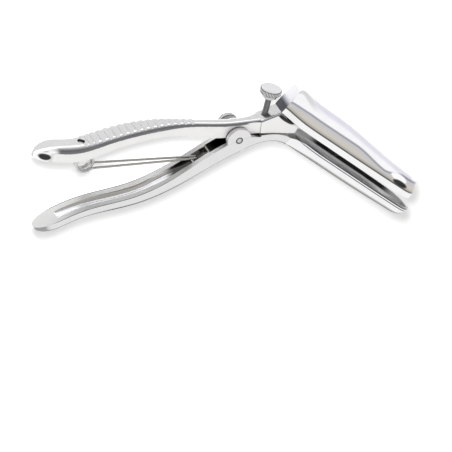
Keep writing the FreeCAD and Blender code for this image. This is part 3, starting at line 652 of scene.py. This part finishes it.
class SteelShop:
    """Makes the steel materials."""

    def __init__(self) -> None:
        """Build the shared groups and note the levers' middle plane."""
        self.groups = SurfaceGroups()
        self.made: dict[Surface, bpy.types.Material] = {}
        low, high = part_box("upper_lever")
        self.middle = (low.z + high.z) / 2

    def material(self, surface: Surface) -> bpy.types.Material:
        """Material for a surface, made once.

        Args:
            surface: the surface to cover.

        Returns:
            Its material.
        """
        if surface not in self.made:
            finish = next(finish for finish in FINISHES if finish.surface is surface)
            self.made[surface] = self._build(finish)
        return self.made[surface]

    def _build(self, finish: SteelFinish) -> bpy.types.Material:
        """Material from a finish's values.

        Args:
            finish: the finish wanted.

        Returns:
            The new material.
        """
        material = bpy.data.materials.new(finish.surface.value + "_steel")
        material.use_nodes = True
        pen = NodePen(material.node_tree)
        steel = material.node_tree.nodes["Principled BSDF"]
        steel.inputs["Metallic"].default_value = 1.0
        grain = pen.add("ShaderNodeGroup", node_tree=self.groups.grain)
        streaks = pen.add("ShaderNodeGroup", node_tree=self.groups.wear)
        coats = Coats(pen, finish, self.middle)
        patch = pen.math("MULTIPLY", grain.outputs["Patch"], PATCH_SHARE)
        match finish.surface:
            case Surface.UPPER_LEVER:
                coat_upper_lever(coats)
            case Surface.LOWER_LEVER:
                coat_lower_lever(coats)
            case Surface.UPPER_BLADE:
                coat_upper_blade(coats)
            case Surface.LOWER_BLADE:
                coat_lower_blade(coats)
            case Surface.SET_SCREW:
                low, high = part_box("thumb_screw")
                off_axis = pen.math("SUBTRACT", coats.x, (low.x + high.x) / 2 / MM)
                coat_screw(coats, coats.face_y, coats.length(off_axis, coats.depth))
            case Surface.PIVOT:
                radius = coats.length(coats.x, coats.y)
                coat_screw(coats, coats.face_z, radius)
                # Painted shade: a dark ring round the end's rounded rim.
                end = coats.above(coats.depth, 4.0, 0.5)
                end_ring = pen.all_of(end, pen.band(radius, 1.2, 1.9, 0.12))
                coats.coat(end_ring, Tone((0.10, 0.10, 0.10), 0.3))
            case Surface.WIRE:
                coat_wire(coats)
        worn = pen.mix(patch, coats.colour, PATCH_TINT)
        scratches = pen.math("MULTIPLY", streaks.outputs["Scratch"], SCRATCH_SHARE)
        pen.link(pen.mix(scratches, worn, SCRATCH_TINT), steel.inputs["Base Color"])
        duller = pen.math("MULTIPLY", patch, PATCH_ROUGHENING)
        pen.link(pen.math("ADD", coats.rough, duller), steel.inputs["Roughness"])
        fine = pen.math("MULTIPLY", pen.math("MULTIPLY", grain.outputs["Height"], coats.rough),
                        GRAIN_RELIEF * finish.grain)
        lines = pen.math("MULTIPLY", streaks.outputs["Height"], finish.streak)
        bump = pen.add("ShaderNodeBump")
        bump.inputs["Strength"].default_value = BUMP_STRENGTH
        bump.inputs["Distance"].default_value = BUMP_DEPTH
        pen.link(pen.math("ADD", fine, lines), bump.inputs["Height"])
        pen.link(bump.outputs["Normal"], steel.inputs["Normal"])
        return material


def dress_node(name: str, material: bpy.types.Material) -> None:
    """Give a frame node its material.

    Args:
        name: node name.
        material: its finish.
    """
    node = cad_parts[name]
    node.data.materials.clear()
    node.data.materials.append(material)
    log.info("dressed %s with %s", name, material.name)


@dataclass(frozen=True)
class KnobSizes:
    """Sizes that both knurled screws share, in mm.

    Attributes:
        collar: radius of the collar.
        undercut: radius of the undercut between collar and head.
        undercut_length: how long the undercut is.
        head: radius of the head.
        thickness: how thick the head is.
        round_in: how far the head's rounding reaches in from its rim.
        round_down: how far it reaches down from its end.
        knurl_margin: plain length at each end of the knurl.
    """

    collar: float = 3.5
    undercut: float = 2.6
    undercut_length: float = 0.7
    head: float = 5.25
    thickness: float = 2.6
    round_in: float = 0.4
    round_down: float = 0.35
    knurl_margin: float = 0.3

    def head_profile(self, length: float) -> tuple[tuple[float, float], ...]:
        """Outline of the head, from the undercut up to the end's rounding.

        Args:
            length: the whole screw's length, in mm.

        Returns:
            The outline as (radius, height).
        """
        rim = length - self.thickness
        return ((self.undercut, rim), (self.head - self.round_in, rim),
                (self.head, rim + self.round_down), (self.head, length - self.round_down),
                (self.head - self.round_in, length))

    def knurled(self, length: float) -> tuple[float, float]:
        """Heights between which the head is knurled.

        Args:
            length: the whole screw's length, in mm.

        Returns:
            The lower and the upper height.
        """
        return length - self.thickness + self.knurl_margin, length - self.knurl_margin


@dataclass
class KnurledScrew:
    """A turned screw: stem, collar, undercut and knurled head, modelled upright from its tip.

    Attributes:
        name: piece name.
        node: frame node that it stands for.
        body: frame body that it rides on.
        profile: (radius, height) from the tip to the head's rim, in mm.
        head: (height where the knurl starts, height where it ends), in mm.
        place: turn and shift from upright to the row frame.
        surface: which surface it is.
        ridges: number of knurl ridges.
        knurl: depth of the knurl, in mm.
        eased: width of the eased edges, in mm.
        eased_steps: segments across each eased edge.
        eased_from: angle in degrees from which an edge is eased.
        smooth_under: angle in degrees under which faces are shaded as one.
        thread: (first height, last height, crest radius, pitch) in mm, or None.
        thread_steps: steps in each turn of the thread.
        thread_depth: radius of the thread's triangle, as a share of its pitch.
        thread_smooth_under: the same angle as smooth_under, for the thread.
        pieces: the screw's pieces once they are built.
    """

    name: str
    node: str
    body: str
    profile: tuple[tuple[float, float], ...]
    head: tuple[float, float]
    place: Matrix
    surface: Surface
    ridges: int = 44
    knurl: float = 0.28
    eased: float = 0.06
    eased_steps: int = 2
    eased_from: float = 50
    smooth_under: float = 32
    thread: tuple[float, float, float, float] | None = None
    thread_steps: int = 24
    thread_depth: float = 0.42
    thread_smooth_under: float = 35
    pieces: list[bpy.types.Object] = field(default_factory=list)

    def build(self, shop: SteelShop) -> None:
        """Model the screw, place it and put it in the frame.

        Args:
            shop: maker of the materials.
        """
        material = shop.material(self.surface)
        self.pieces.append(self._turn())
        if self.thread is not None:
            self.pieces.append(self._cut_thread())
        for piece in self.pieces:
            piece.data.transform(self.place)
            piece.data.materials.clear()
            piece.data.materials.append(material)
            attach(piece, self.body)
            log.info("built %s", piece.name)
        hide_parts(self.node)

    def _turn(self) -> bpy.types.Object:
        """Extrude a disc along the profile and press the knurl into the head.

        Returns:
            The turned piece.
        """
        bpy.ops.object.select_all(action="DESELECT")
        first_radius, first_height = self.profile[0]
        sides = 2 * self.ridges
        bpy.ops.mesh.primitive_circle_add(vertices=sides, radius=first_radius * MM, fill_type="NGON",
                                          location=(0, 0, first_height * MM))
        piece = bpy.context.object
        piece.name = self.name
        bpy.ops.object.transform_apply(location=True, rotation=True, scale=True)
        bpy.ops.object.mode_set(mode="EDIT")
        bpy.ops.mesh.select_all(action="SELECT")
        radius, height = first_radius, first_height
        for next_radius, next_height in self.profile[1:]:
            bpy.ops.mesh.extrude_region_move()
            if next_height != height:
                bpy.ops.transform.translate(value=(0, 0, (next_height - height) * MM))
            if next_radius != radius:
                share = next_radius / radius
                bpy.ops.transform.resize(value=(share, share, 1))
            radius, height = next_radius, next_height
        bpy.ops.mesh.select_all(action="SELECT")
        bpy.ops.mesh.normals_make_consistent(inside=False)
        bpy.ops.mesh.select_all(action="DESELECT")
        bpy.ops.object.mode_set(mode="OBJECT")
        low, high = self.head
        slack = 1e-6
        for vertex in piece.data.vertices:
            around = math.atan2(vertex.co.y, vertex.co.x) * sides / math.tau
            on_head = low * MM - slack <= vertex.co.z <= high * MM + slack
            vertex.select = on_head and round(around) % 2 == 1
        bpy.ops.object.mode_set(mode="EDIT")
        share = 1 - self.knurl / max(radius for radius, _ in self.profile)
        bpy.ops.transform.resize(value=(share, share, 1))
        bpy.ops.object.mode_set(mode="OBJECT")
        bevel = piece.modifiers.new("eased", "BEVEL")
        bevel.width = self.eased * MM
        bevel.segments = self.eased_steps
        bevel.limit_method = "ANGLE"
        bevel.angle_limit = math.radians(self.eased_from)
        bpy.ops.object.modifier_apply(modifier=bevel.name)
        bpy.ops.object.shade_smooth_by_angle(angle=math.radians(self.smooth_under))
        return piece

    def _cut_thread(self) -> bpy.types.Object:
        """Wind a sharp crest round the stem with the screw modifier.

        Returns:
            The thread's crest.
        """
        low, high, crest, pitch = self.thread
        bpy.ops.object.select_all(action="DESELECT")
        bpy.ops.mesh.primitive_circle_add(vertices=3, radius=self.thread_depth * pitch * MM,
                                          fill_type="NOTHING", location=(0, 0, 0))
        piece = bpy.context.object
        piece.name = self.name + "_thread"
        # The triangle stands in the XZ plane with its point outwards
        piece.data.transform(Matrix.Rotation(math.radians(90), 4, "X"))
        piece.data.transform(Matrix.Rotation(math.radians(90), 4, "Y"))
        tip = max(vertex.co.x for vertex in piece.data.vertices)
        piece.data.transform(Matrix.Translation((crest * MM - tip, 0, low * MM)))
        screw = piece.modifiers.new("thread", "SCREW")
        screw.axis = "Z"
        screw.screw_offset = pitch * MM
        screw.iterations = max(1, int((high - low) / pitch))
        screw.steps = self.thread_steps
        screw.render_steps = self.thread_steps
        screw.use_merge_vertices = True
        bpy.ops.object.modifier_apply(modifier=screw.name)
        bpy.ops.object.mode_set(mode="EDIT")
        bpy.ops.mesh.select_all(action="SELECT")
        bpy.ops.mesh.normals_make_consistent(inside=False)
        bpy.ops.object.mode_set(mode="OBJECT")
        bpy.ops.object.shade_smooth_by_angle(angle=math.radians(self.thread_smooth_under))
        return piece


@dataclass
class UpperHalf:
    """Upper lever with its blade, the spring, its plug and the set screw. Lengths in mm.

    Attributes:
        knob: sizes of the set screw's head and collar.
        tip: radius of the flat tip.
        tip_length: how long the tip's cone is.
        stem: radius of the stem, under the thread.
        thread_start: height where the thread starts.
        thread_end: distance from the thread's end to the head's end.
        thread_crest: radius of the thread's crest.
        thread_pitch: pitch of the thread.
        collar_length: how long the collar is.
        collar_round: rounding of the collar's edges.
        dish_in: how far the dish in the end starts from the rim.
        dish_step: width of the dish's slope.
        dish_depth: depth of the dish.
    """

    knob: KnobSizes = KnobSizes()
    tip: float = 0.9
    tip_length: float = 0.5
    stem: float = 1.42
    thread_start: float = 0.8
    thread_end: float = 5.2
    thread_crest: float = 1.5
    thread_pitch: float = 0.55
    collar_length: float = 1.4
    collar_round: float = 0.15
    dish_in: float = 1.1
    dish_step: float = 0.25
    dish_depth: float = 0.12

    def build(self, shop: SteelShop) -> None:
        """Dress the upper pieces and model the set screw.

        Args:
            shop: maker of the materials.
        """
        dress_node("upper_lever", shop.material(Surface.UPPER_LEVER))
        dress_node("upper_blade", shop.material(Surface.UPPER_BLADE))
        dress_node("spring_anchor", shop.material(Surface.SET_SCREW))
        dress_node("torsion_spring", shop.material(Surface.WIRE))
        low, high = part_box("thumb_screw")
        length = (high.y - low.y) / MM
        across, deep = (low.x + high.x) / 2, (low.z + high.z) / 2
        place = Matrix.Translation((across, low.y, deep)) @ Matrix.Rotation(math.radians(-90), 4, "X")
        thread = (self.thread_start, length - self.thread_end, self.thread_crest, self.thread_pitch)
        KnurledScrew("set_screw", "thumb_screw", "screw", self._profile(length), self.knob.knurled(length),
                     place, Surface.SET_SCREW, thread=thread).build(shop)

    def _profile(self, length: float) -> tuple[tuple[float, float], ...]:
        """Outline of the set screw from its tip to the dish in its end.

        Args:
            length: its length.

        Returns:
            The outline as (radius, height).
        """
        knob = self.knob
        collar_top = length - knob.thickness - knob.undercut_length
        collar_foot = collar_top - self.collar_length
        narrower = knob.collar - self.collar_round
        dish = knob.head - self.dish_in
        return ((self.tip, 0.0), (self.stem, self.tip_length), (self.stem, collar_foot),
                (narrower, collar_foot), (knob.collar, collar_foot + self.collar_round),
                (knob.collar, collar_top - self.collar_round), (narrower, collar_top),
                (knob.undercut, collar_top), *knob.head_profile(length), (dish, length),
                (dish - self.dish_step, length - self.dish_depth))


@dataclass
class LowerHalf:
    """Lower lever with its blade, the spring's cross pin and the pivot screw. Lengths in mm.

    Attributes:
        knob: sizes of the pivot screw's head and collar.
        shank: radius of the shank.
        collar_length: how long the collar is.
        socket: radius of the small socket in the end.
        socket_lip: radius of the socket's lip.
        socket_depth: depth of the socket.
        end_round: rounding of the shank's end.
    """

    knob: KnobSizes = KnobSizes()
    shank: float = 1.75
    collar_length: float = 2.7
    socket: float = 0.95
    socket_lip: float = 1.02
    socket_depth: float = 0.1
    end_round: float = 0.3

    def build(self, shop: SteelShop) -> None:
        """Dress the lower pieces and model the pivot screw.

        Args:
            shop: maker of the materials.
        """
        dress_node("lower_lever", shop.material(Surface.LOWER_LEVER))
        dress_node("lower_blade", shop.material(Surface.LOWER_BLADE))
        dress_node("spring_pin", shop.material(Surface.PIVOT))
        low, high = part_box("pivot_screw")
        length = (high.z - low.z) / MM
        place = Matrix.Translation((0, 0, high.z)) @ Matrix.Rotation(math.pi, 4, "X")
        KnurledScrew("pivot_knob", "pivot_screw", "lower", self._profile(length), self.knob.knurled(length),
                     place, Surface.PIVOT).build(shop)

    def _profile(self, length: float) -> tuple[tuple[float, float], ...]:
        """Outline of the pivot screw from the socket in its end to its knob.

        Args:
            length: its length.

        Returns:
            The outline as (radius, height).
        """
        knob = self.knob
        far_ear = length - knob.thickness - knob.undercut_length - self.collar_length
        collar_top = far_ear + self.collar_length
        return ((self.socket, self.socket_depth), (self.socket_lip, 0.0),
                (self.shank - self.end_round, 0.0), (self.shank, self.end_round),
                (self.shank, far_ear), (knob.collar, far_ear), (knob.collar, collar_top),
                (knob.undercut, collar_top), *knob.head_profile(length))


@dataclass(frozen=True)
class Reflection:
    """A dark or tinted patch of the studio, seen only in polished steel.

    Attributes:
        direction: where it lies, in the row frame.
        inner: angle inside which it is full, in degrees.
        outer: angle outside which it is gone, in degrees.
        tint: its colour.
    """

    direction: tuple[float, float, float]
    inner: float
    outer: float
    tint: tuple[float, float, float]


@dataclass
class Studio:
    """Floor, soft light, white surroundings and the camera.

    Attributes:
        target: point in mm that the middle of the picture looks at.
        right: direction that points right in the picture.
        up: direction that points up in the picture.
        distance: camera distance in mm.
        scale: pixels per mm.
        pixels: side of the picture.
        clip: nearest and farthest distance that the camera sees, in metres.
        floor_size: side of the floor, in metres.
        floor_drop: how far the floor lies under the lowest point, in metres.
        floor_colour: colour of the floor.
        floor_rough: roughness of the floor.
        floor_gloss: strength of the floor's own reflection.
        glow: how much the floor glows for the camera.
        glow_in_steel: share of that glow that reflections see.
        lamp_place: where the lamp stands, in metres.
        lamp_width: side of the lamp, in metres.
        lamp_power: its power in watts.
        ambient: colour that the surroundings light the scene with.
        reflections: patches of the surroundings.
    """

    target: Vector = field(default_factory=lambda: Vector((4.89, -46.83, 17.0)))
    right: Vector = field(default_factory=lambda: Vector((0.899, 0.228, 0.375)))
    up: Vector = field(default_factory=lambda: Vector((0.007, 0.847, -0.532)))
    distance: float = 1500.0
    scale: float = 2.15
    pixels: float = 452.0
    clip: tuple[float, float] = (0.05, 10.0)
    floor_size: float = 6.0
    floor_drop: float = 0.0002
    floor_colour: tuple[float, float, float] = (0.93, 0.93, 0.92)
    floor_rough: float = 0.9
    floor_gloss: float = 0.1
    glow: float = 0.50
    glow_in_steel: float = 0.8
    lamp_place: tuple[float, float, float] = (-0.56, 0.72, 0.80)
    lamp_width: float = 0.28
    lamp_power: float = 16.0
    ambient: tuple[float, float, float] = (0.20, 0.20, 0.195)
    reflections: tuple[Reflection, ...] = (
        Reflection((0.44, 0.76, 0.48), 8, 40, (0.72, 0.72, 0.72)),
        Reflection((0.93, 0.31, 0.18), 6, 20, (0.80, 0.79, 0.86)),
        Reflection((-0.44, 0.48, 0.76), 4, 14, (0.25, 0.25, 0.26)),
    )

    def build(self) -> None:
        """Set up the whole studio."""
        self._camera()
        self._floor()
        self._lamp()
        self._surroundings()

    def _camera(self) -> None:
        """Place the camera at the photograph's viewing angle."""
        lens = bpy.data.cameras.new("camera")
        camera = bpy.data.objects.new("camera", lens)
        bpy.context.scene.collection.objects.link(camera)
        right = self.right.normalized()
        back = right.cross(self.up).normalized()
        up = back.cross(right)
        turn = Matrix((right, up, back)).transposed().to_4x4()
        camera.matrix_world = Matrix.Translation((self.target + back * self.distance) * MM) @ turn
        lens.type = "ORTHO"
        lens.ortho_scale = self.pixels / self.scale * MM
        lens.clip_start, lens.clip_end = self.clip
        bpy.context.scene.camera = camera

    def _floor(self) -> None:
        """Lay the pale floor under the instrument's lowest point."""
        low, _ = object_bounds()
        bpy.ops.object.select_all(action="DESELECT")
        place = (0, 0, low[2] - self.floor_drop)
        bpy.ops.mesh.primitive_plane_add(size=self.floor_size, location=place)
        floor = bpy.context.object
        floor.name = "floor"
        floor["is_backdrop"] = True
        material = bpy.data.materials.new("pale_floor")
        material.use_nodes = True
        pen = NodePen(material.node_tree)
        cloth = material.node_tree.nodes["Principled BSDF"]
        cloth.inputs["Base Color"].default_value = (*self.floor_colour, 1)
        cloth.inputs["Roughness"].default_value = self.floor_rough
        cloth.inputs["Specular IOR Level"].default_value = self.floor_gloss
        glow = pen.add("ShaderNodeEmission")
        glow.inputs["Color"].default_value = (1, 1, 1, 1)
        path = pen.add("ShaderNodeLightPath")
        seen = pen.math("MAXIMUM", path.outputs["Is Camera Ray"],
                        pen.math("MULTIPLY", path.outputs["Is Glossy Ray"], self.glow_in_steel))
        pen.link(pen.math("MULTIPLY", seen, self.glow), glow.inputs["Strength"])
        both = pen.add("ShaderNodeAddShader")
        pen.link(cloth.outputs[0], both.inputs[0])
        pen.link(glow.outputs[0], both.inputs[1])
        pen.link(both.outputs[0], material.node_tree.nodes["Material Output"].inputs["Surface"])
        floor.data.materials.append(material)

    def _lamp(self) -> None:
        """Stand one soft lamp beyond the upper handle, facing the instrument."""
        data = bpy.data.lights.new("key", "AREA")
        data.shape = "SQUARE"
        data.size = self.lamp_width
        data.energy = self.lamp_power
        lamp = bpy.data.objects.new("key", data)
        lamp.location = self.lamp_place
        lamp.rotation_euler = Vector(self.lamp_place).to_track_quat("Z", "Y").to_euler()
        lamp.visible_glossy = False
        bpy.context.scene.collection.objects.link(lamp)

    def _surroundings(self) -> None:
        """White surroundings, with the studio's dark patches in what polished steel reflects."""
        world = bpy.data.worlds.new("surroundings")
        bpy.context.scene.world = world
        world.use_nodes = True
        pen = NodePen(world.node_tree)
        direction = pen.add("ShaderNodeTexCoord").outputs["Generated"]
        colour: object = (1.0, 1.0, 1.0)
        for patch in self.reflections:
            dot = pen.add("ShaderNodeVectorMath", operation="DOT_PRODUCT")
            pen.link(direction, dot.inputs[0])
            dot.inputs[1].default_value = Vector(patch.direction).normalized()
            near = pen.ramp(dot.outputs["Value"], math.cos(math.radians(patch.outer)),
                            math.cos(math.radians(patch.inner)))
            colour = pen.mix(near, colour, patch.tint)
        path = pen.add("ShaderNodeLightPath")
        seen = pen.mix(path.outputs["Is Glossy Ray"], self.ambient, colour)
        final = pen.mix(path.outputs["Is Camera Ray"], seen, (1.0, 1.0, 1.0))
        background = world.node_tree.nodes["Background"]
        pen.link(final, background.inputs["Color"])
        background.inputs["Strength"].default_value = 1.0


def main() -> None:
    """Build the instrument's halves and the studio round them."""
    logging.basicConfig(level=logging.INFO, format="%(name)s: %(message)s")
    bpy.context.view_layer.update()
    bpy.context.scene.view_settings.view_transform = "Standard"
    shop = SteelShop()
    UpperHalf().build(shop)
    LowerHalf().build(shop)
    Studio().build()


if __name__ == "__main__":
    main()
